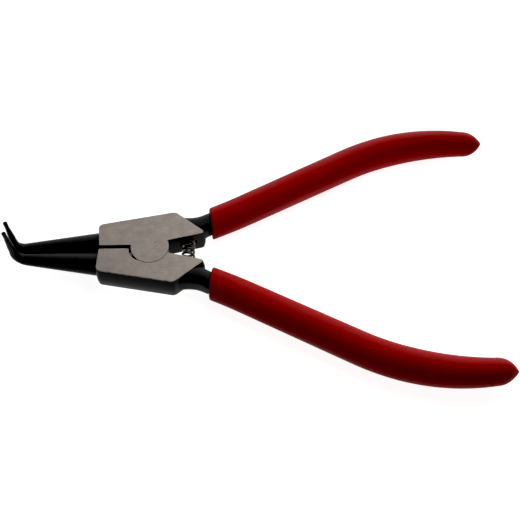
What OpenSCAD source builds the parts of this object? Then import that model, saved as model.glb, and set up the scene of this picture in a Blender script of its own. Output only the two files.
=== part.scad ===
// External circlip pliers with bent tips: two lapped steel halves on a flush rivet, a coil spring
// between their heels and a dipped plastic grip on each handle. The jaws stay shut at rest, and
// squeezing the handles spreads the tips.
// +X runs along the handles, +Y points to the upper handle and +Z out of the front face.
// The origin is on the pivot axis, at the head's ground back face.

/* [Head] */
// Thickness of the head between its two ground faces
head_t = 9.2; // [7.4:0.1:11]
// Distance from the pivot to the head's front edge
head_front = 18; // [14:0.1:24]
// Half width of the head at its front edge
front_half_w = 9.5; // [8.4:0.1:12]
// Rounding of the front corner
front_corner_r = 1.8; // [0.5:0.1:3]
// Distance along the tool from the pivot to the widest corner
wide_x = 8.6; // [5:0.1:11]
// Half width of the head at its widest corner
wide_half_w = 14.65; // [13.5:0.05:17]
// Distance along the tool from the pivot to the heel
heel_x = 19.4; // [18:0.1:21]
// Distance from the centre line to the heel
heel_half_w = 5.75; // [5.2:0.05:7]
// Rounding of the heel corner
heel_corner_r = 0.9; // [0.5:0.1:2]
// Angle from the centre line to each wall of the rear notch
notch_angle = 13.7; // [13.2:0.1:16]
// Width of the slit between the two halves in front of the pivot
slit_w = 1.3; // [0.6:0.1:2]

/* [Pivot] */
// Radius of the disc that each half laps over the other
disc_r = 6.6; // [5.5:0.1:7.5]
// Gap between a disc's rim and the recess round it
disc_clear = 0.15; // [0.1:0.05:0.4]
// Gap between the two lapped faces
lap_clear = 0.06; // [0.04:0.02:0.2]
// How far the recess is milled on towards the slit
relief_shift = 1; // [0:0.05:1]
// Direction of that relief, from the handles' side of the centre line
relief_angle = 136; // [120:1:150]
// Diameter of the rivet's shank
rivet_d = 5.5; // [4:0.1:6.5]
// Diameter of the rivet's flush ends
rivet_end_d = 7.2; // [6.8:0.1:8.5]
// Depth of the countersink under each flush end
rivet_end_h = 1; // [0.6:0.1:1.6]
// Radial clearance of the turning half on the rivet
running_clear = 0.05; // [0.02:0.01:0.08]
// Radial clearance of the half that the rivet is peened into
fixed_clear = 0.02; // [0.01:0.01:0.05]

/* [Jaws] */
// Radius of a jaw where it leaves the head
jaw_root_r = 3.96; // [3:0.02:4]
// Length of a jaw's straight taper
jaw_len = 24.8; // [15:0.1:40]
// Gap between the two jaws where they leave the head
jaw_gap = 0.2; // [0.1:0.05:1]
// Radius of a jaw where its bend starts
bend_start_r = 2.02; // [1.6:0.02:2.2]
// Radius of a jaw where its bend ends
bend_end_r = 1.46; // [1.4:0.02:1.9]
// Radius of the bend along the jaw's centre line
bend_r = 4.3; // [3:0.1:8]
// Angle that the tips are bent up by
bend_angle = 85.5; // [40:0.5:90]
// Distance between the two tips' axes when the jaws are shut
tip_spacing = 4.5; // [4.1:0.1:6]
// Radius of a tip at the end of its shoulder
shoulder_r = 1.25; // [0.9:0.05:1.4]
// Length of the shoulder above the bend
shoulder_len = 4; // [2:0.1:8]
// Length of the slender taper above the shoulder
taper_len = 5; // [2:0.1:10]
// Diameter of the pin that enters a circlip's eye
tip_d = 1.5; // [1:0.1:1.8]
// Length of that pin
tip_len = 3.7; // [2:0.1:8]

/* [Handles] */
// Distance along the tool from the pivot to the grip's mouth
mouth_x = 21.3; // [20.5:0.1:25]
// Distance from the centre line to the middle of the grip's mouth
mouth_y = 12.55; // [12:0.05:14]
// Angle of the handle where it leaves the head
root_angle = 24.5; // [22:0.5:27]
// Angle of the grip's mouth, which is level with the dip and not square to the handle
mouth_angle = 7.5; // [5:0.5:24]
// Length of straight handle before its first bend
lead_len = 3; // [2.5:0.1:6]
// Radius of the first, slight bend
first_bend_r = 150; // [80:5:250]
// Angle of the handle's long straight stretch
handle_angle = 28.2; // [27.5:0.1:32]
// Length of that stretch
straight_len = 42.9; // [30:0.1:70]
// Radius of the long bend towards the handle's end
long_bend_r = 82; // [70:1:120]
// Angle of the handle where the long bend ends
end_angle = -6; // [-10:0.5:0]
// Width of the steel handle
tang_w = 6.2; // [5.5:0.1:6.8]
// Thickness of the steel handle
tang_t = 5.6; // [4.6:0.1:5.7]
// Thickness of the neck between the head and the handle
neck_t = 6.4; // [5.5:0.1:6.8]
// Rounding of the handle's edges
tang_edge_r = 1.8; // [0.8:0.1:2.2]
// Length of steel handle inside the grip
tang_len = 97; // [80:0.5:100]
// Radius of the hollow between the head's widest corner and the handle
neck_hollow_r = 10.6; // [9:0.1:14]
// Distance along the tool from the pivot to the hollow's lowest place
neck_hollow_x = 13.4; // [12.5:0.1:14.5]
// Distance from the centre line to the hollow's lowest place
neck_half_w = 13.2; // [12.6:0.1:14]
// Distance along the tool from the pivot to the end of the neck's shoulder
neck_end_x = 19.7; // [19:0.1:20.2]

/* [Grips] */
// Length of a grip along the handle
grip_len = 108.9; // [104:0.1:115]
// Radius of the grip behind its mouth
grip_mouth_r = 5.65; // [5.3:0.05:6.5]
// Largest radius of the grip
grip_r = 6; // [5.4:0.05:7]
// Radius of the grip where its rounded end begins
grip_end_r = 4.55; // [4.3:0.05:5.5]
// Thickness of the grip across the pliers, as a share of its width
grip_flat = 0.97; // [0.9:0.01:1]
// Rounding of the grip's mouth
lip_r = 0.7; // [0.3:0.1:1.2]
// Distance from the mouth at which the grip starts to narrow
narrow_start = 69; // [50:1:85]
// Length of the rounded end
nose_len = 5; // [3:0.1:8]
// Gap between the steel handle and the grip
grip_clear = 0.05; // [0.02:0.01:0.15]

/* [Spring] */
// Distance along the tool from the pivot to the spring's axis
spring_x = 13.2; // [12.5:0.1:13.8]
// Outer diameter of the coil
spring_d = 4.8; // [4:0.1:5]
// Diameter of the wire
wire_d = 0.9; // [0.5:0.05:1]
// Number of turns
spring_turns = 8.5; // [6:0.5:10]
// Distance from the centre line to the floor of each seat
seat_y = 7.6; // [6.8:0.1:8]
// Gap between the coil and the wall of its seat
seat_clear = 0.4; // [0.25:0.05:0.5]
// Gap between the coil's end and the floor of its seat
floor_clear = 0.1; // [0.05:0.05:0.2]

/* [Hidden] */
$fn = 64;
corner_steps = 6;
jaw_sides = 24;
jaw_bend_steps = 8;
shoulder_steps = 4;
edge_steps = 5;
handle_sides = 4 * (edge_steps + 1);
grip_steps = 22;
first_bend_steps = 4;
long_bend_steps = 8;
round_steps = 4;
wire_sides = 8;
turn_steps = 16;
oxide_black = [0.1, 0.1, 0.11];
ground_steel = [0.55, 0.51, 0.48];
spring_steel = [0.25, 0.25, 0.26];
dipped_red = [0.55, 0.04, 0.05];

mid_z = head_t / 2;
lap_z = mid_z + lap_clear / 2;
rivet_r = rivet_d / 2;
rivet_end_r = rivet_end_d / 2;
tip_r = tip_d / 2;
// A cut starts this far outside what it cuts
cut_over = 1;

// Corners of a half's plan
slit_y = slit_w / 2;
front_inner = [-head_front, slit_y];
front_outer = [-head_front, front_half_w];
wide_corner = [wide_x, wide_half_w];
heel = [heel_x, heel_half_w];
notch_root = [heel_x - (heel_half_w - slit_y) / tan(notch_angle), slit_y];

// Jaw: its axis closes in from the head to the tip, and its foot goes a little way into the head
jaw_root_y = jaw_gap / 2 + jaw_root_r;
jaw_reach = jaw_len + bend_r * sin(bend_angle);
jaw_close = asin((jaw_root_y - tip_spacing / 2) / jaw_reach);
jaw_foot = 2 * jaw_root_r * sin(jaw_close);
s_bent = jaw_len + arc_len(bend_r, bend_angle);
s_shoulder = s_bent + shoulder_len;
s_pin = s_shoulder + taper_len;
// The slender taper ends in a tiny step round the pin
pin_step = 0.05;

// Places along a handle are [x, y, heading]
mouth = [mouth_x, mouth_y, root_angle];
first_bend = ahead(mouth, lead_len);
straight = turned(first_bend, first_bend_r, handle_angle - root_angle);
long_bend = ahead(straight, straight_len);
bend_end = turned(long_bend, long_bend_r, end_angle - handle_angle);
s_straight = lead_len + arc_len(first_bend_r, handle_angle - root_angle);
s_long_bend = s_straight + straight_len;
s_bend_end = s_long_bend + arc_len(long_bend_r, handle_angle - end_angle);
s_nose = grip_len - nose_len;
// The grip's sections turn square to the handle over this many times its radius
slant_radii = 3;
slant_run = slant_radii * grip_r;
// The rounded end stops this share of a step before its point, on a small flat
nose_flat = 0.4;

// Outline of the neck, which ends inside the handle
neck_hollow = [neck_hollow_x, neck_half_w + neck_hollow_r];
neck_end_y = mouth_y + (neck_end_x - mouth_x) * tan(root_angle);
heel_arc = corner_arc(wide_corner, heel, notch_root, heel_corner_r);
// The steel handle starts inside the head, below the hollow's lowest place
tang_root = -(mouth_x - neck_hollow_x) / cos(root_angle);

// Coil: closed end turns, open turns between
coil_r = (spring_d - wire_d) / 2;
coil_half = seat_y - floor_clear - wire_d / 2;
// Pitch of the end turns, as a share of the wire's diameter
closed_share = 1.05;
closed_pitch = closed_share * wire_d;
open_pitch = (2 * coil_half - 2 * closed_pitch) / (spring_turns - 2);

// Length of an arc of radius r through an angle in degrees
function arc_len(r, angle) = r * angle * PI / 180;

// Angle in degrees of an arc of radius r and length s
function arc_angle(r, s) = s / r * 180 / PI;

// Place that is a distance straight ahead of a place
function ahead(place, s) = [place.x + s * cos(place.z), place.y + s * sin(place.z), place.z];

// Place after a turn of radius r, to the left if the angle is positive
function turned(place, r, angle) =
    let (side = sign(angle), end = place.z + angle)
    [
        place.x + side * r * (sin(end) - sin(place.z)),
        place.y - side * r * (cos(end) - cos(place.z)),
        end
    ];

// Place at a distance s from the grip's mouth, along the handle
function handle_at(s) =
    s <= lead_len ? ahead(mouth, s)
    : s < s_straight ? turned(first_bend, first_bend_r, arc_angle(first_bend_r, s - lead_len))
    : s <= s_long_bend ? ahead(straight, s - s_straight)
    : s < s_bend_end ? turned(long_bend, long_bend_r, -arc_angle(long_bend_r, s - s_long_bend))
    : ahead(bend_end, s - s_bend_end);

// Unit vector along v
function unit(v) = v / norm(v);

// Points of the arc that rounds corner p between its neighbours a and b
function corner_arc(a, p, b, r, steps = corner_steps) =
    let (
        u = unit(a - p),
        v = unit(b - p),
        half = acos(u * v) / 2,
        centre = p + unit(u + v) * r / sin(half),
        from = p + u * r / tan(half) - centre,
        sweep = sign(cross(v, u)) * (180 - 2 * half),
        start = atan2(from.y, from.x)
    )
    [for (i = [0:steps]) centre + r * [cos(start + sweep * i / steps), sin(start + sweep * i / steps)]];

// Radius of the grip at a distance s from its mouth, before its ends are rounded
function grip_radius(s) =
    s < narrow_start
    ? grip_mouth_r + (grip_r - grip_mouth_r) * s / narrow_start
    : grip_r - (grip_r - grip_end_r) * pow((s - narrow_start) / (s_nose - narrow_start), 2);

// Points of a flat section, given as [side, up], set across the handle at a distance s from the mouth.
// A slant of 1 tilts the section from square to the handle until it is parallel to the mouth.
function across_handle(section, s, slant = 0) =
    [for (p = section)
        let (place = handle_at(s + slant * p.x * tan(root_angle - mouth_angle)))
        [place.x - p.x * sin(place.z), place.y + p.x * cos(place.z), mid_z + p.y]];

// Section of the grip
function grip_section(r) =
    [for (i = [0:handle_sides - 1])
        let (turn = 360 * (i + 0.5) / handle_sides)
        r * [cos(turn), grip_flat * sin(turn)]];

// Section of the steel handle with its edges rounded, grown by a gap
function tang_section(gap) =
    let (
        w = tang_w / 2 + gap,
        t = tang_t / 2 + gap,
        corners = [[w, t], [-w, t], [-w, -t], [w, -t]]
    )
    [for (i = [0:3]) each
        corner_arc(corners[(i + 3) % 4], corners[i], corners[(i + 1) % 4], tang_edge_r + gap, edge_steps)];

// Distances from the mouth at which the bends of the steel handle need a section, up to its end
function tang_stops(end) =
    concat(
        [for (i = [0:first_bend_steps]) lead_len + (s_straight - lead_len) * i / first_bend_steps],
        [for (i = [0:long_bend_steps]) s_long_bend + (end - s_long_bend) * i / long_bend_steps]
    );

// Place [x, z, pitch] on a jaw's centre line at a distance s from the head, along the jaw
function jaw_at(s) =
    let (pitch = arc_angle(bend_r, min(max(s - jaw_len, 0), s_bent - jaw_len)), on = max(s - s_bent, 0))
    [
        min(s, jaw_len) + bend_r * sin(pitch) + on * cos(pitch),
        bend_r * (1 - cos(pitch)) + on * sin(pitch),
        pitch
    ];

// Radius of a jaw at a distance s from the head: tapers, with a hollow shoulder above the bend
function jaw_radius(s) =
    s < jaw_len ? jaw_root_r + (bend_start_r - jaw_root_r) * s / jaw_len
    : s < s_bent ? bend_start_r + (bend_end_r - bend_start_r) * (s - jaw_len) / (s_bent - jaw_len)
    : s < s_shoulder ? shoulder_r + (bend_end_r - shoulder_r) * pow((s_shoulder - s) / shoulder_len, 2)
    : shoulder_r + (tip_r + pin_step - shoulder_r) * (s - s_shoulder) / taper_len;

// Ring of points round a jaw at a distance s from the head
function jaw_ring(s) =
    let (place = jaw_at(s), r = jaw_radius(s))
    [for (i = [0:jaw_sides - 1])
        let (
            turn = 360 * i / jaw_sides,
            up = r * sin(turn)
        )
        [place.x - up * sin(place.z), r * cos(turn), place.y + up * cos(place.z)]];

// Distance along the coil's axis after a number of turns, from its lower end
function coil_rise(turn) =
    closed_pitch * (min(turn, 1) + max(turn - spring_turns + 1, 0))
    + open_pitch * (min(max(turn, 1), spring_turns - 1) - 1);

// Ring of points round the wire after a number of turns
function wire_ring(turn) =
    let (
        angle = 360 * turn,
        pitch = turn < 1 || turn > spring_turns - 1 ? closed_pitch : open_pitch,
        lean = atan2(pitch, 2 * PI * coil_r)
    )
    [for (i = [0:wire_sides - 1])
        let (
            round = 360 * i / wire_sides,
            out = coil_r + wire_d / 2 * cos(round),
            up = wire_d / 2 * sin(round)
        )
        [
            spring_x + out * cos(angle) + up * sin(lean) * sin(angle),
            coil_rise(turn) - coil_half + up * cos(lean),
            mid_z + out * sin(angle) - up * sin(lean) * cos(angle)
        ]];

// Closed skin over rings that have equally many points
module skin(rings) {
    count = len(rings[0]);
    last = len(rings) - 1;
    points = [for (ring = rings) each ring];
    sides = [for (k = [0:last - 1], i = [0:count - 1])
        let (
            a = k * count + i,
            b = k * count + (i + 1) % count
        )
        each [[a, b + count, b], [a, a + count, b + count]]];
    first_cap = [for (i = [0:count - 1]) i];
    last_cap = [for (i = [count - 1:-1:0]) last * count + i];
    polyhedron(points, concat([first_cap], sides, [last_cap]), convexity = 6);
}

// Plan of a half of the head, without its disc
module head_outline() {
    polygon(concat(
        [front_inner],
        corner_arc(front_inner, front_outer, wide_corner, front_corner_r),
        [wide_corner],
        heel_arc,
        [notch_root]
    ));
}

// Plan of the recess that takes the other half's disc
module disc_recess() {
    circle(disc_r + disc_clear);
    translate(relief_shift * [cos(relief_angle), -sin(relief_angle)])
        circle(disc_r + disc_clear);
}

// Head with its lap joint: a disc on the front layer, a recess in the back layer
module lapped_head() {
    translate([0, 0, lap_z])
        linear_extrude(head_t - lap_z) {
            head_outline();
            circle(disc_r);
        }
    linear_extrude(lap_z)
        difference() {
            head_outline();
            disc_recess();
        }
}

// Neck and steel handle, lower than the ground faces and hollowed behind the widest corner
module handle() {
    difference() {
        union() {
            translate([0, 0, mid_z - neck_t / 2])
                linear_extrude(neck_t)
                    polygon([
                        wide_corner,
                        heel_arc[corner_steps / 2],
                        [neck_end_x, neck_end_y - tang_w / 2],
                        [neck_end_x, neck_end_y + tang_w / 2]
                    ]);
            skin([for (s = concat([tang_root], tang_stops(tang_len))) across_handle(tang_section(0), s)]);
        }
        translate(neck_hollow)
            cylinder(h = head_t, r = neck_hollow_r);
    }
}

// Rivet hole with a countersink at the front
module rivet_hole(gap) {
    translate([0, 0, -cut_over])
        cylinder(h = head_t + 2 * cut_over, r = rivet_r + gap);
    slope = (rivet_end_r - rivet_r) / rivet_end_h;
    translate([0, 0, head_t - rivet_end_h])
        cylinder(
            h = rivet_end_h + cut_over,
            r1 = rivet_r + gap,
            r2 = rivet_end_r + gap + slope * cut_over
        );
}

// Blind seat for an end of the spring
module spring_seat() {
    translate([spring_x, 0, mid_z])
        rotate([-90, 0, 0])
            cylinder(h = seat_y, r = spring_d / 2 + seat_clear);
}

// Half of the pliers without its jaw
module half(rivet_gap) {
    difference() {
        union() {
            lapped_head();
            handle();
        }
        rivet_hole(rivet_gap);
        spring_seat();
    }
}

// Round tapered jaw with its tip bent up, and the pin that enters a circlip's eye
module jaw() {
    stops = concat(
        [-jaw_foot],
        [for (i = [0:jaw_bend_steps]) jaw_len + (s_bent - jaw_len) * i / jaw_bend_steps],
        [for (i = [1:shoulder_steps]) s_bent + shoulder_len * i / shoulder_steps],
        [s_pin]
    );
    pin_root = jaw_at(s_shoulder);
    translate([-head_front, jaw_root_y, mid_z])
        rotate(180 + jaw_close) {
            skin([for (s = stops) jaw_ring(s)]);
            translate([pin_root.x, 0, pin_root.y])
                rotate([0, 90 - bend_angle, 0])
                    cylinder(h = taper_len + tip_len, r = tip_r);
        }
}

// Jaw whose foot leaves the slit between the halves open
module trimmed_jaw() {
    difference() {
        jaw();
        translate([-head_front, slit_y - head_t, -cut_over])
            cube([head_t, head_t, head_t + 2 * cut_over]);
    }
}

// Dipped grip: its skin runs from the end of the hollow out round the lip and on to the nose
module grip() {
    hollow_end = tang_len + grip_clear;
    hollow = concat(
        [across_handle(tang_section(grip_clear), 0, 1)],
        [for (s = tang_stops(hollow_end)) across_handle(tang_section(grip_clear), s)]
    );
    lip = [for (i = [0:round_steps])
        let (a = 90 * i / round_steps)
        across_handle(grip_section(grip_mouth_r - lip_r * (1 - sin(a))), lip_r * (1 - cos(a)), 1)];
    body = [for (i = [1:grip_steps])
        let (s = lip_r + (s_nose - lip_r) * i / grip_steps)
        across_handle(grip_section(grip_radius(s)), s, max(1 - (s - lip_r) / slant_run, 0))];
    nose = [for (i = [1:round_steps])
        let (a = 90 * i / (round_steps + nose_flat))
        across_handle(grip_section(grip_end_r * cos(a)), s_nose + nose_len * sin(a))];
    skin(concat([for (i = [len(hollow) - 1:-1:0]) hollow[i]], lip, body, nose));
}

// The lower half is the upper one turned over about the tool's centre line
module turned_over() {
    translate([0, 0, head_t])
        rotate([180, 0, 0])
            children();
}

module upper_lever() {
    color(oxide_black)
        union() {
            half(running_clear);
            trimmed_jaw();
        }
}

module lower_lever() {
    color(oxide_black)
        union() {
            turned_over()
                half(fixed_clear);
            mirror([0, 1, 0])
                trimmed_jaw();
        }
}

// Rivet with a countersunk end in each half, ground flush with the head
module pivot_rivet() {
    color(ground_steel)
        rotate_extrude()
            polygon([
                [0, 0],
                [rivet_end_r, 0],
                [rivet_r, rivet_end_h],
                [rivet_r, head_t - rivet_end_h],
                [rivet_end_r, head_t],
                [0, head_t]
            ]);
}

module return_spring() {
    color(spring_steel)
        skin([for (k = [0:spring_turns * turn_steps]) wire_ring(k / turn_steps)]);
}

module upper_grip() {
    color(dipped_red)
        grip();
}

module lower_grip() {
    color(dipped_red)
        mirror([0, 1, 0])
            grip();
}

upper_lever();
lower_lever();
pivot_rivet();
return_spring();
upper_grip();
lower_grip();
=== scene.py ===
"""Looks of a pair of circlip pliers with bent tips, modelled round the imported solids.

Lengths are in metres, written as millimetres times MM, and angles in radians.
+X runs along the handles, +Y points to the upper handle and +Z out of the front face.
"""

import logging
import math
from collections.abc import Callable, Iterator
from contextlib import contextmanager
from dataclasses import dataclass, field
from enum import Enum

import bmesh
import bpy
from mathutils import Matrix, Vector


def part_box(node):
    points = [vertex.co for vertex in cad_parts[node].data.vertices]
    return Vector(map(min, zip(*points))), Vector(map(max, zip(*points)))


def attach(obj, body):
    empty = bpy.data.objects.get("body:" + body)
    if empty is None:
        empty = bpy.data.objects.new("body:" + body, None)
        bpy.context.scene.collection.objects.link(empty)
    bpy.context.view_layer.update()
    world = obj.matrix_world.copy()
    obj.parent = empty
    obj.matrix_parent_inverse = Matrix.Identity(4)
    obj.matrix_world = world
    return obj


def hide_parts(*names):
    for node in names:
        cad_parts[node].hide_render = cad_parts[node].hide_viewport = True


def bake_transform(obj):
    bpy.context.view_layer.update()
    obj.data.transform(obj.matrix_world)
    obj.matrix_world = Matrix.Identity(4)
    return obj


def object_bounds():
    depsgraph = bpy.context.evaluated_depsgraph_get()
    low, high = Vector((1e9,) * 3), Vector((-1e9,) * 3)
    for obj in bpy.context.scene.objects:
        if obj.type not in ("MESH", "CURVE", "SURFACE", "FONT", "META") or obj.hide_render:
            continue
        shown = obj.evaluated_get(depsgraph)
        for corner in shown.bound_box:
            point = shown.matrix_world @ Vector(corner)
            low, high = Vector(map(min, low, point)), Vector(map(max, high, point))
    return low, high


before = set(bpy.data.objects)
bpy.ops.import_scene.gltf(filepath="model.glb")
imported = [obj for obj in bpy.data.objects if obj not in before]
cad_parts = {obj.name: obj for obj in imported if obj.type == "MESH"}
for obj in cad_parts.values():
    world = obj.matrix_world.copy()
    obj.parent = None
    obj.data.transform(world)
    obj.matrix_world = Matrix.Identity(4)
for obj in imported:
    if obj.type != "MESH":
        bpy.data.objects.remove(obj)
CAD_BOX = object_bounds()
LOG = logging.getLogger("pliers")

MM = 0.001
X_AXIS = Vector((1, 0, 0))
Y_AXIS = Vector((0, 1, 0))
Z_AXIS = Vector((0, 0, 1))
ORIGIN = Vector((0, 0, 0))
ONES = Vector((1, 1, 1))
# Two places are the same within NEAR, and vertices are merged within WELD
NEAR = 0.004 * MM
WELD = NEAR / 8
# Upright share of the normal, at least for a level face and at most for an upright one
LEVEL = 0.999
UPRIGHT = 1 - LEVEL
# Faces that turn by less than FLAT are one face, and the sides of a spike by less than SPIKE one edge
FLAT = math.radians(0.2)
SPIKE = 0.001
# Edges that turn by more than this are shaded as edges, and are broken on the bench
SHARP = math.radians(32)

# The head lies between the rivet's two flush ends
BACK_Z, FRONT_Z = (corner.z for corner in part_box("pivot_rivet"))
MID_Z = (BACK_Z + FRONT_Z) / 2


class Side(Enum):
    """The two halves of the pliers, by the sign of their handle's Y."""

    UPPER = 1
    LOWER = -1

    @property
    def label(self) -> str:
        """Name of the half, as the nodes and bodies begin."""
        return self.name.lower()

    @property
    def body(self) -> str:
        """CAD body that the half rides on."""
        return f"{self.label}_half"

    def place(self, x: float, y: float, z: float = 0.0) -> Vector:
        """Puts a place on the upper half at the same place on this half.

        Args:
            x: distance along the tool.
            y: distance from the centre line.
            z: height above the mid-plane of the head.

        Returns:
            The place, in the frame.
        """
        return Vector((x, self.value * y, MID_Z + z))


class Pick(Enum):
    """What a selection is made of."""

    VERTICES = "VERT"
    EDGES = "EDGE"
    FACES = "FACE"


class Joining(Enum):
    """How one workpiece acts on another."""

    ADD = "UNION"
    CUT = "DIFFERENCE"


class Coat(Enum):
    """Material slots of a forging, in order."""

    OXIDE = 0
    GROUND = 1
    EDGE = 2


def linear(colour: str) -> tuple[float, float, float, float]:
    """Turns an sRGB hex colour into a linear one.

    Args:
        colour: six hex digits after a hash sign.

    Returns:
        Red, green, blue and alpha.
    """
    shares = [int(colour[i:i + 2], 16) / 255 for i in (1, 3, 5)]
    return (*(s / 12.92 if s <= 0.04045 else ((s + 0.055) / 1.055) ** 2.4 for s in shares), 1.0)


def add_node(
    tree: bpy.types.NodeTree, kind: str, inputs: dict[str | int, object] | None = None, **settings: object
) -> bpy.types.Node:
    """Adds a node with its settings, and fills or links its inputs.

    Args:
        tree: tree that the node goes into.
        kind: Blender's name of the node, without its prefix.
        inputs: value, or output to link, by the input's name or number.
        settings: the node's own attributes.

    Returns:
        The new node.
    """
    node = tree.nodes.new(f"ShaderNode{kind}")
    for name, value in settings.items():
        setattr(node, name, value)
    for key, value in (inputs or {}).items():
        if isinstance(value, bpy.types.NodeSocket):
            tree.links.new(value, node.inputs[key])
        else:
            node.inputs[key].default_value = value
    return node


# Numbers of the colour inputs and the colour output of Blender's Mix node
MIX_SHARE, MIX_FROM, MIX_TO, MIX_COLOUR = 0, 6, 7, 2
# Most values of a noise texture lie in this span
NOISE_SPAN = {"From Min": 0.3, "From Max": 0.7}


@dataclass(frozen=True)
class Finish:
    """What every finish shares: its name, and a tree that starts from the object's own coordinates."""

    name: str

    def material(self) -> bpy.types.Material:
        """Makes the material, or finds it where it is made already.

        Returns:
            The material.
        """
        made = bpy.data.materials.get(self.name)
        if made is None:
            made = bpy.data.materials.new(self.name)
            made.use_nodes = True
            made.node_tree.nodes.clear()
            coords = add_node(made.node_tree, "TexCoord").outputs["Object"]
            shader = self.shader(made.node_tree, coords)
            add_node(made.node_tree, "OutputMaterial", {"Surface": shader.outputs[0]})
        return made

    def shader(self, tree: bpy.types.NodeTree, coords: bpy.types.NodeSocket) -> bpy.types.Node:
        """Builds the finish's own nodes.

        Args:
            tree: the material's tree.
            coords: object coordinates, in metres.

        Returns:
            The shader.
        """
        raise NotImplementedError


@dataclass(frozen=True)
class BlackOxide(Finish):
    """Black oxide on forged steel: a thin dark skin with a satin sheen that drifts a little."""

    name: str = "black_oxide_forged_steel"
    dark: str = "#333333"
    light: str = "#3f3f3f"
    roughness: tuple[float, float] = (0.28, 0.38)
    # The skin is porous, so that it reflects less than a closed one
    reflection: float = 0.06
    cloud: float = 5.0 * MM
    # Forging grain is finer than this, which is as fine as the render shows
    grain: float = 0.35 * MM
    grain_depth: float = 0.012 * MM

    def shader(self, tree: bpy.types.NodeTree, coords: bpy.types.NodeSocket) -> bpy.types.Node:
        """Drifts the colour and the sheen in clouds, over a fine grain.

        Args:
            tree: the material's tree.
            coords: object coordinates, in metres.

        Returns:
            The shader.
        """
        cloud = add_node(tree, "TexNoise", {"Vector": coords, "Scale": 1 / self.cloud, "Detail": 4.0})
        grain = add_node(tree, "TexNoise", {"Vector": coords, "Scale": 1 / self.grain, "Detail": 2.0})
        colour = add_node(tree, "Mix", {
            MIX_SHARE: cloud.outputs[0],
            MIX_FROM: linear(self.dark),
            MIX_TO: linear(self.light),
        }, data_type="RGBA")
        sheen = add_node(tree, "MapRange", NOISE_SPAN | {
            "Value": cloud.outputs[0],
            "To Min": self.roughness[0],
            "To Max": self.roughness[1],
        })
        bump = add_node(tree, "Bump", {"Height": grain.outputs[0], "Distance": self.grain_depth})
        return add_node(tree, "BsdfPrincipled", {
            "Base Color": colour.outputs[MIX_COLOUR],
            "Roughness": sheen.outputs[0],
            "Specular IOR Level": self.reflection,
            "Normal": bump.outputs[0],
        })


@dataclass(frozen=True)
class GroundSteel(Finish):
    """Surface-ground tool steel: dull warm grey, with fine lines along the grind and faint clouds."""

    name: str = "surface_ground_steel"
    dull: str = "#9c938b"
    bright: str = "#b3aaa2"
    pit: str = "#5b534c"
    roughness: tuple[float, float] = (0.42, 0.56)
    cloud: float = 2.6 * MM
    # Grind lines are drawn this coarse so that they show
    line_gap: float = 0.22 * MM
    line_len: float = 9.0 * MM
    line_depth: float = 0.004 * MM
    grind_angle: float = math.radians(83)
    pit_gap: float = 1.3 * MM
    # Spans of the noise over which the steel goes from dull to bright, and from clean to pitted
    mottle_span: tuple[float, float] = (0.1, 0.4)
    pit_span: tuple[float, float] = (0.76, 0.84)

    def shader(self, tree: bpy.types.NodeTree, coords: bpy.types.NodeSocket) -> bpy.types.Node:
        """Lays grind lines over clouds, and strews a few dark pits.

        Args:
            tree: the material's tree.
            coords: object coordinates, in metres.

        Returns:
            The shader.
        """
        along = add_node(tree, "Mapping", {
            "Vector": coords,
            "Rotation": (0.0, 0.0, -self.grind_angle),
            "Scale": (1 / self.line_len, 1 / self.line_gap, 1 / self.line_len),
        })
        lines = add_node(tree, "TexNoise", {"Vector": along.outputs[0], "Scale": 1.0, "Detail": 3.0})
        cloud = add_node(tree, "TexNoise", {"Vector": coords, "Scale": 1 / self.cloud, "Detail": 5.0})
        mottle = add_node(tree, "Math", {0: lines.outputs[0], 1: cloud.outputs[0]}, operation="MULTIPLY")
        share = add_node(tree, "MapRange", {
            "Value": mottle.outputs[0],
            "From Min": self.mottle_span[0],
            "From Max": self.mottle_span[1],
        })
        steel = add_node(tree, "Mix", {
            MIX_SHARE: share.outputs[0],
            MIX_FROM: linear(self.dull),
            MIX_TO: linear(self.bright),
        }, data_type="RGBA")
        pits = add_node(tree, "TexNoise", {"Vector": coords, "Scale": 1 / self.pit_gap, "Detail": 1.0})
        few = add_node(tree, "MapRange", {
            "Value": pits.outputs[0],
            "From Min": self.pit_span[0],
            "From Max": self.pit_span[1],
        })
        colour = add_node(tree, "Mix", {
            MIX_SHARE: few.outputs[0],
            MIX_FROM: steel.outputs[MIX_COLOUR],
            MIX_TO: linear(self.pit),
        }, data_type="RGBA")
        sheen = add_node(tree, "MapRange", NOISE_SPAN | {
            "Value": lines.outputs[0],
            "To Min": self.roughness[0],
            "To Max": self.roughness[1],
        })
        bump = add_node(tree, "Bump", {"Height": lines.outputs[0], "Distance": self.line_depth})
        return add_node(tree, "BsdfPrincipled", {
            "Base Color": colour.outputs[MIX_COLOUR],
            "Metallic": 1.0,
            "Roughness": sheen.outputs[0],
            "Normal": bump.outputs[0],
        })


@dataclass(frozen=True)
class RubbedAndHighlitEdge(Finish):
    """Edge where grinding and handling have rubbed the oxide thin: bright steel in broken runs, partly real
    wear and partly a painted highlight along the edge.
    """

    name: str = "rubbed_edge_steel_and_painted_highlight"
    oxide: str = "#5d5854"
    # Bright steel of the rubbed edge, which also serves as a painted highlight along the edge
    steel: str = "#a79f97"
    run: float = 1.6 * MM
    metallic: float = 0.9
    roughness: float = 0.4

    def shader(self, tree: bpy.types.NodeTree, coords: bpy.types.NodeSocket) -> bpy.types.Node:
        """Breaks bright steel through the oxide, as rubbed wear and as a painted highlight along the edge.

        Args:
            tree: the material's tree.
            coords: object coordinates, in metres.

        Returns:
            The shader.
        """
        runs = add_node(tree, "TexNoise", {"Vector": coords, "Scale": 1 / self.run, "Detail": 4.0})
        share = add_node(tree, "MapRange", NOISE_SPAN | {"Value": runs.outputs[0]})
        colour = add_node(tree, "Mix", {
            MIX_SHARE: share.outputs[0],
            MIX_FROM: linear(self.oxide),
            MIX_TO: linear(self.steel),
        }, data_type="RGBA")
        return add_node(tree, "BsdfPrincipled", {
            "Base Color": colour.outputs[MIX_COLOUR],
            "Metallic": self.metallic,
            "Roughness": self.roughness,
        })


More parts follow.
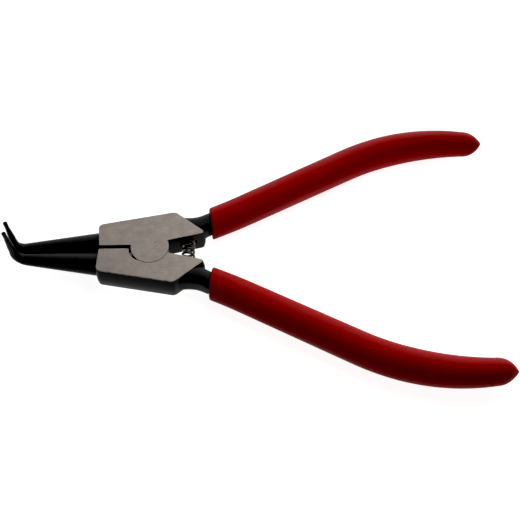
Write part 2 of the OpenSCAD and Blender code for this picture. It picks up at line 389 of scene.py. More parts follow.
@dataclass(frozen=True)
class SpringWire(Finish):
    """Hard-drawn spring wire: dark oiled steel with small clean highlights."""

    name: str = "drawn_spring_wire"
    dark: str = "#55524f"
    light: str = "#75716e"
    streak: float = 0.5 * MM
    roughness: float = 0.42

    def shader(self, tree: bpy.types.NodeTree, coords: bpy.types.NodeSocket) -> bpy.types.Node:
        """Streaks the wire between dark and light.

        Args:
            tree: the material's tree.
            coords: object coordinates, in metres.

        Returns:
            The shader.
        """
        streaks = add_node(tree, "TexNoise", {"Vector": coords, "Scale": 1 / self.streak, "Detail": 3.0})
        colour = add_node(tree, "Mix", {
            MIX_SHARE: streaks.outputs[0],
            MIX_FROM: linear(self.dark),
            MIX_TO: linear(self.light),
        }, data_type="RGBA")
        return add_node(tree, "BsdfPrincipled", {
            "Base Color": colour.outputs[MIX_COLOUR],
            "Metallic": 1.0,
            "Roughness": self.roughness,
        })


@dataclass(frozen=True)
class DippedPvc(Finish):
    """Soft PVC from a dipping bath: deep red, half gloss, with the slow waves of a coat that ran and set."""

    name: str = "dipped_red_pvc"
    deep: str = "#b00a0b"
    fresh: str = "#be0c0d"
    ior: float = 1.53
    # Plasticiser dulls the skin, so that it reflects less than hard PVC
    reflection: float = 0.1
    roughness: tuple[float, float] = (0.5, 0.6)
    wave: float = 14.0 * MM
    wave_depth: float = 0.05 * MM
    # The skin's orange peel, drawn as coarse as it has to be to show
    peel: float = 0.7 * MM
    peel_depth: float = 0.006 * MM

    def shader(self, tree: bpy.types.NodeTree, coords: bpy.types.NodeSocket) -> bpy.types.Node:
        """Waves the coat slowly, under a fine orange peel.

        Args:
            tree: the material's tree.
            coords: object coordinates, in metres.

        Returns:
            The shader.
        """
        wave = add_node(tree, "TexNoise", {"Vector": coords, "Scale": 1 / self.wave, "Detail": 1.0})
        peel = add_node(tree, "TexNoise", {"Vector": coords, "Scale": 1 / self.peel, "Detail": 2.0})
        colour = add_node(tree, "Mix", {
            MIX_SHARE: wave.outputs[0],
            MIX_FROM: linear(self.deep),
            MIX_TO: linear(self.fresh),
        }, data_type="RGBA")
        sheen = add_node(tree, "MapRange", NOISE_SPAN | {
            "Value": wave.outputs[0],
            "To Min": self.roughness[0],
            "To Max": self.roughness[1],
        })
        waves = add_node(tree, "Bump", {"Height": wave.outputs[0], "Distance": self.wave_depth})
        skin = add_node(tree, "Bump", {
            "Height": peel.outputs[0],
            "Distance": self.peel_depth,
            "Normal": waves.outputs[0],
        })
        return add_node(tree, "BsdfPrincipled", {
            "Base Color": colour.outputs[MIX_COLOUR],
            "Roughness": sheen.outputs[0],
            "IOR": self.ior,
            "Specular IOR Level": self.reflection,
            "Normal": skin.outputs[0],
        })


@dataclass(frozen=True)
class LightTable(Finish):
    """White table lit from below, so that no shadow stays on it."""

    name: str = "light_table_white"
    colour: str = "#f4f4f4"
    roughness: float = 0.9
    glow: float = 1.0

    def shader(self, tree: bpy.types.NodeTree, coords: bpy.types.NodeSocket) -> bpy.types.Node:
        """Glows evenly.

        Args:
            tree: the material's tree.
            coords: object coordinates, in metres; not used.

        Returns:
            The shader.
        """
        return add_node(tree, "BsdfPrincipled", {
            "Base Color": linear(self.colour),
            "Roughness": self.roughness,
            "Emission Color": linear(self.colour),
            "Emission Strength": self.glow,
        })


def cut_back(before: Vector, corner: Vector, after: Vector, radius: float) -> float:
    """Works out how far from a corner its rounding begins.

    Args:
        before: the corner before it.
        corner: the corner.
        after: the corner after it.
        radius: radius of the rounding.

    Returns:
        The distance along either side.
    """
    return radius / math.tan((before - corner).angle(after - corner) / 2)


class Workpiece:
    """One mesh on the bench, shaped with edit-mode operators."""

    def __init__(
        self, name: str, add: Callable[..., set[str]], stretch: Vector = ONES, **settings: object
    ) -> None:
        """Adds a primitive and puts its place into its mesh.

        Args:
            name: the object's name.
            add: operator that adds the primitive.
            stretch: scale along the primitive's own axes.
            settings: the primitive's size and place.
        """
        bpy.ops.object.select_all(action="DESELECT")
        add(**settings)
        self.obj = bpy.context.object
        self.obj.name = name
        self.obj.scale = stretch
        bpy.ops.object.transform_apply(location=True, rotation=True, scale=True)

    def activate(self) -> None:
        """Makes this the one selected object."""
        bpy.ops.object.select_all(action="DESELECT")
        self.obj.select_set(True)
        bpy.context.view_layer.objects.active = self.obj

    @contextmanager
    def editing(self) -> Iterator[None]:
        """Opens the mesh in edit mode, with everything selected, and closes it again.

        Yields:
            Nothing, while the mesh is open.
        """
        self.activate()
        bpy.ops.object.mode_set(mode="EDIT")
        bpy.ops.mesh.select_mode(type=Pick.FACES.value)
        bpy.ops.mesh.select_all(action="SELECT")
        yield
        bpy.ops.object.mode_set(mode="OBJECT")

    def pick(self, kind: Pick, wanted: Callable[..., bool]) -> None:
        """Selects parts of the open mesh.

        Args:
            kind: what is selected.
            wanted: test of one vertex, edge or face.
        """
        bpy.ops.mesh.select_mode(type=kind.value)
        bpy.ops.mesh.select_all(action="DESELECT")
        mesh = bmesh.from_edit_mesh(self.obj.data)
        mesh.normal_update()
        parts = {Pick.VERTICES: mesh.verts, Pick.EDGES: mesh.edges, Pick.FACES: mesh.faces}[kind]
        for part in parts:
            if wanted(part):
                part.select_set(True)
        mesh.select_flush_mode()
        bmesh.update_edit_mesh(self.obj.data)

    def trim(self, point: Vector, outward: Vector, closed: bool = False) -> None:
        """Cuts the open mesh along a plane and drops what lies beyond it.

        Args:
            point: a place on the plane.
            outward: direction of what is dropped.
            closed: whether the cut is filled.
        """
        bpy.ops.mesh.select_all(action="SELECT")
        bpy.ops.mesh.bisect(
            plane_co=point,
            plane_no=outward.normalized(),
            clear_outer=True,
            use_fill=closed,
            threshold=WELD,
        )

    def extrude(self, move: Vector) -> None:
        """Extrudes the selected faces of the open mesh by a move."""
        bpy.ops.mesh.extrude_region_move(TRANSFORM_OT_translate={"value": move})

    def round_corner(self, corner: Vector, before: Vector, after: Vector, radius: float, steps: int) -> None:
        """Rounds a corner of the open, still flat mesh.

        Args:
            corner: the corner.
            before: the corner before it.
            after: the corner after it.
            radius: radius of the rounding.
            steps: straight pieces of the rounding.
        """
        self.pick(Pick.VERTICES, lambda vertex: (vertex.co - corner).length < NEAR)
        offset = cut_back(before, corner, after, radius)
        bpy.ops.mesh.bevel(offset=offset, affect="VERTICES", segments=steps)

    def break_edges(self, width: float, steps: int, wanted: Callable[..., bool]) -> None:
        """Breaks sharp edges of the open mesh.

        Args:
            width: distance from the edge to where its rounding begins.
            steps: straight pieces of the rounding.
            wanted: test of one edge.
        """
        self.pick(Pick.EDGES, lambda edge: edge.calc_face_angle(0) > SHARP and wanted(edge))
        bpy.ops.mesh.bevel(offset=width, affect="EDGES", segments=steps)

    def join(self, other: "Workpiece", how: Joining) -> None:
        """Adds another workpiece to this one or cuts it out, and uses it up.

        Args:
            other: the other workpiece.
            how: whether it is added or cut out.
        """
        modifier = self.obj.modifiers.new(how.name, "BOOLEAN")
        modifier.object = other.obj
        modifier.operation = how.value
        modifier.solver = "EXACT"
        self.activate()
        bpy.ops.object.modifier_apply(modifier=modifier.name)
        bpy.data.objects.remove(other.obj)

    def weld(self) -> None:
        """Merges doubles, drops the seams and spikes that joining left and turns all faces outwards."""
        with self.editing():
            bpy.ops.mesh.remove_doubles(threshold=WELD)
            bpy.ops.mesh.dissolve_limited(angle_limit=FLAT)
            self.pick(Pick.VERTICES, self.is_spike)
            bpy.ops.mesh.dissolve_verts()
            bpy.ops.mesh.select_all(action="SELECT")
            bpy.ops.mesh.normals_make_consistent(inside=False)

    def is_spike(self, vertex: bmesh.types.BMVert) -> bool:
        """Tells whether a face's outline only runs out to a vertex and back again.

        Args:
            vertex: the vertex.

        Returns:
            True if it does.
        """
        if len(vertex.link_edges) != 2:
            return False
        out, back = (edge.other_vert(vertex).co - vertex.co for edge in vertex.link_edges)
        return out.angle(back) < SPIKE

    def smooth(self) -> None:
        """Shades the piece smooth between its sharp edges, with flat faces kept flat."""
        self.activate()
        bpy.ops.object.shade_smooth_by_angle(angle=SHARP)
        modifier = self.obj.modifiers.new("flat_faces", "WEIGHTED_NORMAL")
        modifier.keep_sharp = True
        bpy.ops.object.modifier_apply(modifier=modifier.name)

    def coat(self, coat: Coat, wanted: Callable[[bmesh.types.BMFace], bool]) -> None:
        """Gives faces another coat.

        Args:
            coat: the coat.
            wanted: test of one face.
        """
        with self.editing():
            self.pick(Pick.FACES, wanted)
            self.obj.active_material_index = coat.value
            bpy.ops.object.material_slot_assign()

    def wear(self, *finishes: Finish) -> None:
        """Puts finishes into the piece's material slots.

        Args:
            finishes: the finishes, in the order of the slots.
        """
        self.obj.data.materials.clear()
        for finish in finishes:
            self.obj.data.materials.append(finish.material())


class Bar(Workpiece):
    """A bar that grows out of its end face, which stays selected while the mesh is open."""

    def __init__(
        self, name: str, at: Vector, heading: Vector, radius: float, sides: int = 0, **settings: object
    ) -> None:
        """Starts the bar from a flat face.

        Args:
            name: the object's name.
            at: middle of the face.
            heading: direction in which the bar grows.
            radius: its radius, or one for a bar whose section isn't round.
            sides: number of its sides, for a round bar.
            settings: size of the face, for a bar that isn't round.
        """
        add = bpy.ops.mesh.primitive_plane_add
        if sides:
            add = bpy.ops.mesh.primitive_circle_add
            settings = {"vertices": sides, "radius": radius, "fill_type": "NGON"}
        turn = heading.to_track_quat("Z", "Y").to_euler()
        super().__init__(name, add, location=at, rotation=turn, **settings)
        self.radius = radius
        self.at = at.copy()
        self.heading = heading.normalized()

    def resize(self, radius: float) -> None:
        """Scales the end face about its middle.

        Args:
            radius: radius that the bar gets.
        """
        share = radius / self.radius
        bpy.ops.transform.resize(value=(share, share, share), center_override=self.at)
        self.radius = radius

    def run(self, length: float, radius: float | None = None) -> None:
        """Grows straight on.

        Args:
            length: length of the run.
            radius: radius at its end, if that changes.
        """
        self.go(self.at + self.heading * length)
        if radius is not None:
            self.resize(radius)

    def go(self, place: Vector) -> None:
        """Grows until the middle of the end face is at a place."""
        self.extrude(place - self.at)
        self.at = place.copy()

    def bend(self, axis: Vector, bend_radius: float, angle: float, radii: list[float]) -> None:
        """Grows round a bend, in equal steps.

        Args:
            axis: direction of the axis that the bend turns about.
            bend_radius: radius of the bar's centre line.
            angle: angle of the bend, right-handed about the axis.
            radii: radius of the bar after each step.
        """
        inward = math.copysign(1, angle) * axis.cross(self.heading)
        centre = self.at + bend_radius * inward
        step = angle / len(radii)
        turn = Matrix.Rotation(step, 3, axis)
        for radius in radii:
            # Spin counts its angle the other way round
            bpy.ops.mesh.spin(steps=1, angle=-step, center=centre, axis=axis)
            self.at = centre + turn @ (self.at - centre)
            self.heading = turn @ self.heading
            self.resize(radius)

    def turn(self, axis: Vector, angle: float) -> None:
        """Turns the end face about its own middle.

        Args:
            axis: one of the frame's axes.
            angle: angle of the turn, right-handed about the axis.
        """
        # With no window, rotate turns the other way round
        name = "XYZ"[[X_AXIS, Y_AXIS, Z_AXIS].index(axis)]
        bpy.ops.transform.rotate(value=-angle, orient_axis=name, center_override=self.at)
        self.heading = Matrix.Rotation(angle, 3, axis) @ self.heading


@dataclass
class Head:
    """Half of the head: a plate with a disc on one layer and a recess in the other."""

    side: Side
    # Width of the sheet that the plan is cut from
    sheet_w: float = 72.0 * MM
    front: float = 18.0 * MM
    # The front edge slants: its outer corner lies this far in front of its middle, the inner one behind it
    front_slant: float = 0.32 * MM
    front_half_w: float = 9.5 * MM
    front_corner_r: float = 1.8 * MM
    wide_corner_r: float = 2.2 * MM
    # The forged flank and heel are shallow barrels, this far out at their middle
    barrel: float = 0.7 * MM
    barrel_steps: int = 10
    wide: tuple[float, float] = (8.6 * MM, 14.65 * MM)
    heel: tuple[float, float] = (19.4 * MM, 5.75 * MM)
    heel_corner_r: float = 0.9 * MM
    notch_angle: float = math.radians(13.7)
    slit_w: float = 1.3 * MM
    disc_r: float = 6.6 * MM
    disc_gap: float = 0.15 * MM
    lap_gap: float = 0.06 * MM
    relief_r: float = 5.05 * MM
    relief_shift: float = 2.4 * MM
    relief_angle: float = math.radians(158)
    rivet_gap: float = 0.03 * MM
    seat_floor: float = 7.6 * MM
    seat_gap: float = 0.4 * MM
    edge_break: float = 0.16 * MM
    edge_steps: int = 2
    corner_steps: int = 8
    round_sides: int = 96
    seat_sides: int = 48
    # Cutters reach this far out of what they cut
    over: float = 1.0 * MM

    @property
    def height(self) -> float:
        """Distance between the two ground faces."""
        return FRONT_Z - BACK_Z

    def corners(self) -> list[Vector]:
        """Works out the corners of the plan on the back face.

        Returns:
            The corners, from the slit's front end round to its rear end.
        """
        slit_y = self.slit_w / 2
        rise = self.heel[1] - slit_y
        rear = (self.heel[0] - rise / math.tan(self.notch_angle), slit_y)
        inner = (self.front_slant - self.front, slit_y)
        outer = (-self.front_slant - self.front, self.front_half_w)
        plan = [inner, outer, self.wide, self.heel, rear]
        return [self.side.place(x, y, BACK_Z - MID_Z) for x, y in plan]

    def plate(self) -> Workpiece:
        """Cuts the plan out of a sheet, draws it up in a barrel and rounds its corners and edges.

        Returns:
            The plate.
        """
        plate = Workpiece(
            f"{self.side.label}_forging",
            bpy.ops.mesh.primitive_plane_add,
            size=self.sheet_w,
            location=(0, 0, BACK_Z),
        )
        corners = self.corners()
        with plate.editing():
            for start, end in zip(corners, corners[1:] + corners[:1]):
                plate.trim(start, self.side.value * Z_AXIS.cross(end - start))
            inner, front, wide, heel, rear = corners
            plate.round_corner(heel, wide, rear, self.heel_corner_r, self.corner_steps)
            out = self.side.value * Z_AXIS.cross(wide - front).normalized()
            heel_reach = cut_back(wide, heel, rear, self.heel_corner_r)
            for i in range(1, self.barrel_steps + 1):
                self.draw_up(plate, i)
                self.swell(plate, i, (front, wide), 0.0, out)
                self.swell(plate, i, (heel,), heel_reach, X_AXIS)
            self.round_column(plate, (inner, front, wide), self.front_corner_r)
            self.round_column(plate, (front, wide, heel), self.wide_corner_r)
        plate.weld()
        with plate.editing():
            plate.break_edges(self.edge_break, self.edge_steps, lambda edge: True)
        return plate

    def round_column(self, plate: Workpiece, corners: tuple[Vector, Vector, Vector], radius: float) -> None:
        """Rounds an upright edge of the open plate, all the way down its barrel.

        Args:
            plate: the plate.
            corners: the corner of the plan, between the ones before and after it.
            radius: radius of the rounding.
        """
        before, corner, after = corners
        plate.pick(Pick.EDGES, lambda edge: all(self.in_column(v, corner) for v in edge.verts))
        offset = cut_back(before, corner, after, radius)
        bpy.ops.mesh.bevel(offset=offset, affect="EDGES", segments=self.corner_steps)

    def in_column(self, vertex: bmesh.types.BMVert, corner: Vector, reach: float = 0.0) -> bool:
        """Tells whether a vertex stands above a corner or its rounding, as far out as the barrel goes."""
        return (vertex.co - corner).xy.length < reach + self.barrel + NEAR

    def level(self, step: int) -> float:
        """Height of the open plate after a step of its drawing up."""
        return BACK_Z + step * self.height / self.barrel_steps

    def draw_up(self, plate: Workpiece, step: int) -> None:
        """Draws the open plate up by one step.

        Args:
            plate: the plate.
            step: number of the step, from one.
        """
        low, high = self.level(step - 1), self.level(step)
        plate.pick(Pick.FACES, lambda face: abs(face.calc_center_median().z - low) < NEAR)
        plate.extrude(Z_AXIS * (high - low))

    def swell(
        self, plate: Workpiece, step: int, corners: tuple[Vector, ...], reach: float, out: Vector
    ) -> None:
        """Moves the open plate's newest corners out or in with the barrel.

        Args:
            plate: the plate.
            step: number of the step that drew it up, from one.
            corners: the corners of the plan.
            reach: how far their rounding reaches.
            out: direction of the barrel.
        """
        low, high = ((i / self.barrel_steps * 2 - 1) ** 2 for i in (step - 1, step))
        level = self.level(step)
        plate.pick(Pick.VERTICES, lambda vertex: abs(vertex.co.z - level) < NEAR and any(
            self.in_column(vertex, corner, reach) for corner in corners
        ))
        bpy.ops.transform.translate(value=out * self.barrel * (low - high))

    def round_bar(self, name: str, radius: float, low: float, high: float, at: Vector = ORIGIN) -> Workpiece:
        """Makes an upright cylinder.

        Args:
            name: the object's name.
            radius: its radius.
            low: its lower end, measured out of the disc's face on this half's own layers.
            high: its upper end, measured the same way.
            at: where its axis stands.

        Returns:
            The cylinder.
        """
        middle = MID_Z + self.side.value * (low + high) / 2
        return Workpiece(
            name,
            bpy.ops.mesh.primitive_cylinder_add,
            vertices=self.round_sides,
            radius=radius,
            depth=high - low,
            location=(at.x, at.y, middle),
        )

    def disc(self) -> Workpiece:
        """Makes the disc that laps over the other half, with its rim broken.

        Returns:
            The disc.
        """
        disc = self.round_bar("disc", self.disc_r, self.lap_gap / 2, self.height / 2)
        with disc.editing():
            disc.break_edges(self.edge_break / 2, self.edge_steps, lambda edge: True)
        return disc

    def recess(self) -> list[Workpiece]:
        """Makes the cutters of the recess.

        Returns:
            One cutter round the other half's disc and one for the relief.
        """
        cosine, sine = math.cos(self.relief_angle), math.sin(self.relief_angle)
        relief = self.side.place(self.relief_shift * cosine, self.relief_shift * sine)
        reach = self.height / 2 + self.over
        rounds = ((self.disc_r + self.disc_gap, ORIGIN), (self.relief_r, relief))
        return [self.round_bar("recess", radius, -reach, self.lap_gap / 2, at) for radius, at in rounds]

    def rivet_hole(self, rivet: "Rivet") -> Workpiece:
        """Makes the cutter of the rivet's hole, with a countersink on the disc's side.

        Args:
            rivet: the rivet that goes through.

        Returns:
            The cutter.
        """
        flare_from = self.height / 2 - rivet.flare_h
        hole = self.round_bar("hole", rivet.shank_r + self.rivet_gap, -self.height, flare_from)
        slope = (rivet.end_r - rivet.shank_r) / rivet.flare_h
        mouth = rivet.end_r + self.rivet_gap + slope * self.over
        share = mouth / (rivet.shank_r + self.rivet_gap)
        up = self.side.value * Z_AXIS
        with hole.editing():
            hole.pick(Pick.FACES, lambda face: face.normal.dot(up) > LEVEL)
            hole.extrude(up * (rivet.flare_h + self.over))
            bpy.ops.transform.resize(value=(share, share, 1), center_override=ORIGIN)
        return hole

    def spring_seat(self, spring: "ReturnSpring") -> Workpiece:
        """Makes the cutter of the blind seat for an end of the spring.

        Args:
            spring: the spring that sits in it.

        Returns:
            The cutter.
        """
        return Workpiece(
            "seat",
            bpy.ops.mesh.primitive_cylinder_add,
            vertices=self.seat_sides,
            radius=spring.coil_d / 2 + self.seat_gap,
            depth=self.seat_floor,
            location=self.side.place(spring.axis_x, self.seat_floor / 2),
            rotation=(math.pi / 2, 0, 0),
        )


@dataclass
class Jaw:
    """Round tapered jaw with its tip bent up, and the pin that enters a circlip's eye."""

    side: Side
    root_r: float = 4.12 * MM
    gap: float = 0.2 * MM
    length: float = 24.88 * MM
    # The straight part rises this much towards the bend
    rise: float = math.radians(1.2)
    bend_start_r: float = 2.14 * MM
    bend_end_r: float = 1.42 * MM
    bend_r: float = 4.3 * MM
    bend_angle: float = math.radians(85.5)
    # The two jaws' axes are this far apart where they start to bend, and the tips at their ends
    bend_spacing: float = 4.4 * MM
    tip_spacing: float = 4.4 * MM
    shoulder_r: float = 1.2 * MM
    shoulder_len: float = 3.48 * MM
    taper_len: float = 5.0 * MM
    pin_r: float = 0.75 * MM
    pin_len: float = 3.7 * MM
    pin_step: float = 0.08 * MM
    pin_break: float = 0.12 * MM
    sides: int = 48
    bend_steps: int = 16
    shoulder_steps: int = 8
    # The jaw starts this far inside the head, and is then trimmed to stay only this deep in it
    foot: float = 1.0 * MM
    sunk: float = 0.45 * MM

    def build(self, head: Head) -> Workpiece:
        """Grows the jaw out of the head's front: taper, bend, hollow shoulder, slender taper and pin.

        Args:
            head: half of the head that the jaw leaves.

        Returns:
            The jaw.
        """
        root_y = self.gap / 2 + self.root_r
        closing = self.side.value * math.asin((root_y - self.bend_spacing / 2) / self.length)
        upward = Matrix.Rotation(self.rise, 3, "Y") @ -X_AXIS
        heading = Matrix.Rotation(closing, 3, "Z") @ upward
        foot = self.side.place(-head.front, root_y) - self.foot * heading
        jaw = Bar("jaw", foot, heading, self.root_r, self.sides)
        bend_radii = [
            self.bend_start_r + (self.bend_end_r - self.bend_start_r) * i / self.bend_steps
            for i in range(1, self.bend_steps + 1)
        ]
        with jaw.editing():
            jaw.run(self.foot + self.length, self.bend_start_r)
            axis = jaw.heading.cross(Z_AXIS).normalized()
            jaw.bend(axis, self.bend_r, self.bend_angle - self.rise, bend_radii)
            tip_len = self.shoulder_len + self.taper_len + self.pin_len
            lean = math.asin((self.tip_spacing / 2 - abs(jaw.at.y)) / tip_len)
            jaw.turn(X_AXIS, -self.side.value * lean)
            for i in range(1, self.shoulder_steps + 1):
                left = 1 - i / self.shoulder_steps
                radius = self.shoulder_r + (self.bend_end_r - self.shoulder_r) * left ** 2
                jaw.run(self.shoulder_len / self.shoulder_steps, radius)
            jaw.run(self.taper_len, self.pin_r + self.pin_step)
            jaw.run(self.pin_step, self.pin_r)
            jaw.run(self.pin_len - self.pin_step - self.pin_break)
            jaw.run(self.pin_break, self.pin_r - self.pin_break)
            jaw.trim(self.side.place(self.sunk - head.front, 0), X_AXIS, closed=True)
        return jaw


@dataclass(frozen=True)
class Section:
    """A slice through the neck of the upper half: its inner edge, its outer edge and its thickness."""

    inner: tuple[float, float]
    outer: tuple[float, float]
    thickness: float

    def edge(self, side: Side, outer: bool, gap: float) -> Vector:
        """Finds one of the section's edges.

        Args:
            side: half of the pliers.
            outer: whether the outer edge is meant.
            gap: how far out of the section the place lies.

        Returns:
            The place, in the frame.
        """
        across = Vector(self.outer) - Vector(self.inner)
        across.normalize()
        place = Vector(self.outer) + gap * across if outer else Vector(self.inner) - gap * across
        return side.place(*place)


def neck_sections() -> tuple[Section, ...]:
    """Lists the neck's sections.

    Returns:
        The sections, from inside the head to the handle.
    """
    # Inner edge, outer edge and thickness of each, in millimetres
    rows = (
        (9.0, 6.75, 9.0, 13.65, 8.8),
        (10.5, 6.75, 10.5, 14.0, 8.8),
        (12.0, 6.75, 12.0, 13.7, 8.8),
        (13.4, 6.75, 13.4, 13.6, 8.8),
        (15.0, 6.75, 14.8, 13.7, 8.8),
        (16.5, 6.85, 16.0, 13.9, 8.8),
        (17.6, 7.0, 17.0, 14.2, 8.8),
        (18.3, 7.2, 17.65, 14.45, 8.8),
        (18.8, 7.5, 18.05, 14.65, 8.75),
        (19.2, 7.8, 18.35, 14.8, 8.7),
        (19.6, 8.1, 18.55, 14.9, 8.65),
        (20.1, 8.4, 18.7, 15.0, 8.6),
        (20.8, 8.75, 18.9, 15.12, 8.55),
        (22.45, 9.7, 19.9, 15.6, 8.4),
    )
    return tuple(
        Section((x0 * MM, y0 * MM), (x1 * MM, y1 * MM), t * MM) for x0, y0, x1, y1, t in rows
    )


@dataclass
class Handle:
    """Neck and steel tang of a half, and the line that its grip follows."""

    side: Side
    mouth_x: float = 21.3 * MM
    mouth_y: float = 12.55 * MM
    root_angle: float = math.radians(24.5)
    lead_len: float = 3.0 * MM
    first_bend_r: float = 150.0 * MM
    straight_angle: float = math.radians(28.2)
    straight_len: float = 42.9 * MM
    long_bend_r: float = 82.0 * MM
    neck: tuple[Section, ...] = field(default_factory=neck_sections)
    # The neck has become the tang this far inside the grip
    tang_from: float = 2.0 * MM
    tang_w: float = 6.2 * MM
    tang_t: float = 5.6 * MM
    tang_len: float = 97.0 * MM
    edge_r: float = 3.1 * MM
    corner_steps: int = 6
    first_bend_steps: int = 4
    long_bend_steps: int = 14

    @property
    def mouth(self) -> Vector:
        """Middle of the grip's mouth."""
        return self.side.place(self.mouth_x, self.mouth_y)

    @property
    def heading(self) -> Vector:
        """Direction of the handle at the grip's mouth."""
        return Matrix.Rotation(self.side.value * self.root_angle, 3, "Z") @ X_AXIS

    @property
    def first_bend_angle(self) -> float:
        """Angle of the first, slight bend."""
        return self.straight_angle - self.root_angle

    @property
    def long_bend_at(self) -> float:
        """Distance along the handle from the mouth to the long bend."""
        return self.lead_len + self.first_bend_r * self.first_bend_angle + self.straight_len

    def tang_section(self) -> Section:
        """Works out the section of the tang where the neck ends.

        Returns:
            The section.
        """
        cosine, sine = math.cos(self.root_angle), math.sin(self.root_angle)
        x, y = self.mouth_x + self.tang_from * cosine, self.mouth_y + self.tang_from * sine
        half = self.tang_w / 2
        inner, outer = ((x - k * half * sine, y + k * half * cosine) for k in (-1, 1))
        return Section(inner, outer, self.tang_t)

    def build(self, gap: float = 0.0) -> Workpiece:
        """Draws the neck out of the head, section by section, and the tang along the handle.

        Args:
            gap: how much larger it is made all round, to cut the grip's hollow.

        Returns:
            Neck and tang in one.
        """
        sections = [*self.neck, self.tang_section()]
        inner, outer = (sections[0].edge(self.side, which, gap) for which in (False, True))
        thickness = sections[0].thickness + 2 * gap
        stretch = Vector(((outer - inner).length, thickness, 1))
        bar = Bar("handle", (inner + outer) / 2, X_AXIS, 1.0, stretch=stretch, size=1)
        rise = thickness / 2 * Z_AXIS
        corners = [inner + rise, outer + rise, outer - rise, inner - rise]
        same = [bar.radius]
        with bar.editing():
            for i, corner in enumerate(corners):
                after = corners[(i + 1) % len(corners)]
                bar.round_corner(corner, corners[i - 1], after, self.edge_r + gap, self.corner_steps)
            bar.pick(Pick.FACES, lambda face: True)
            for last, section in zip(sections, sections[1:]):
                self.follow(bar, last, section, gap)
            bar.run(self.lead_len - self.tang_from)
            bend = self.side.value * self.first_bend_angle
            bar.bend(Z_AXIS, self.first_bend_r, bend, same * self.first_bend_steps)
            bar.run(self.straight_len)
            bend = -self.side.value * (self.tang_len + gap - self.long_bend_at) / self.long_bend_r
            bar.bend(Z_AXIS, self.long_bend_r, bend, same * self.long_bend_steps)
        bar.weld()
        return bar

    def follow(self, bar: Bar, last: Section, section: Section, gap: float) -> None:
        """Grows the open bar from one section to the next.

        Args:
            bar: the bar.
            last: section that its end face has.
            section: section that it gets.
            gap: how much larger the sections are made all round.
        """
        was, now = (s.edge(self.side, True, gap) - s.edge(self.side, False, gap) for s in (last, section))
        inner = section.edge(self.side, False, gap)
        bar.go(inner + now / 2)
        bar.turn(Z_AXIS, math.atan2(was.cross(now).z, was.dot(now)))
        share = now.length / was.length
        thinner = (section.thickness + 2 * gap) / (last.thickness + 2 * gap)
        bpy.ops.transform.resize(value=(share, share, thinner), center_override=bar.at)


@dataclass
class Rivet:
    """Flush rivet with a countersunk end in each half."""

    shank_r: float = 2.75 * MM
    end_r: float = 3.6 * MM
    flare_h: float = 1.0 * MM
    sides: int = 96

    def build(self) -> Workpiece:
        """Makes the shank and flares both its ends out to the ground faces.

        Returns:
            The rivet.
        """
        rivet = Workpiece(
            "flush_rivet",
            bpy.ops.mesh.primitive_cylinder_add,
            vertices=self.sides,
            radius=self.shank_r,
            depth=FRONT_Z - BACK_Z - 2 * self.flare_h,
            location=(0, 0, MID_Z),
        )
        share = self.end_r / self.shank_r
        with rivet.editing():
            for up in (Z_AXIS, -Z_AXIS):
                rivet.pick(Pick.FACES, lambda face: face.normal.dot(up) > LEVEL)
                rivet.extrude(up * self.flare_h)
                bpy.ops.transform.resize(value=(share, share, 1), center_override=ORIGIN)
        return rivet

    def dress(self, rivet: Workpiece) -> None:
        """Grinds the rivet bright and sets it on the lower half.

        Args:
            rivet: the built rivet.
        """
        rivet.smooth()
        rivet.wear(GroundSteel())
        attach(rivet.obj, Side.LOWER.body)
        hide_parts("pivot_rivet")


@dataclass
class ReturnSpring:
    """Coil between the heels, with a closed turn at each end."""

    axis_x: float = 13.2 * MM
    coil_d: float = 4.8 * MM
    wire_d: float = 0.9 * MM
    turns: float = 8.5
    half_len: float = 7.1 * MM
    closed_pitch: float = 0.94 * MM
    wire_sides: int = 12
    turn_steps: int = 24
    spread: float = 1.65

    def rise(self, turn: float) -> float:
        """Distance along the coil after a number of turns.

        Args:
            turn: number of turns from the lower end.

        Returns:
            The distance from the lower end.
        """
        open_pitch = 2 * (self.half_len - self.closed_pitch) / (self.turns - 2)
        closed = min(turn, 1) + max(turn - self.turns + 1, 0)
        return self.closed_pitch * closed + open_pitch * (min(max(turn, 1), self.turns - 1) - 1)

    def build(self) -> Workpiece:
        """Winds the wire round the spring's axis, a step at a time.

        Returns:
            The coil.
        """
        middle = Vector((self.axis_x, 0, MID_Z))
        coil_r = (self.coil_d - self.wire_d) / 2
        start = middle - coil_r * X_AXIS - self.half_len * Y_AXIS
        wire = Bar("coil_spring", start, -Z_AXIS, self.wire_d / 2, self.wire_sides)
        step = 2 * math.pi / self.turn_steps
        steps = round(self.turns * self.turn_steps)
        with wire.editing():
            for k in range(1, steps + 1):
                wire.bend(-Y_AXIS, coil_r, step, [wire.radius])
                lift = self.rise(k / self.turn_steps) - self.rise((k - 1) / self.turn_steps)
                bpy.ops.transform.translate(value=Y_AXIS * lift)
                wire.at += Y_AXIS * lift
        wire.weld()
        return wire

    def dress(self, wire: Workpiece) -> None:
        """Colours the coil and bakes its place into its mesh.

        Args:
            wire: the built coil.
        """
        wire.smooth()
        wire.wear(SpringWire())
        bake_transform(wire.obj)
        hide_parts("return_spring")


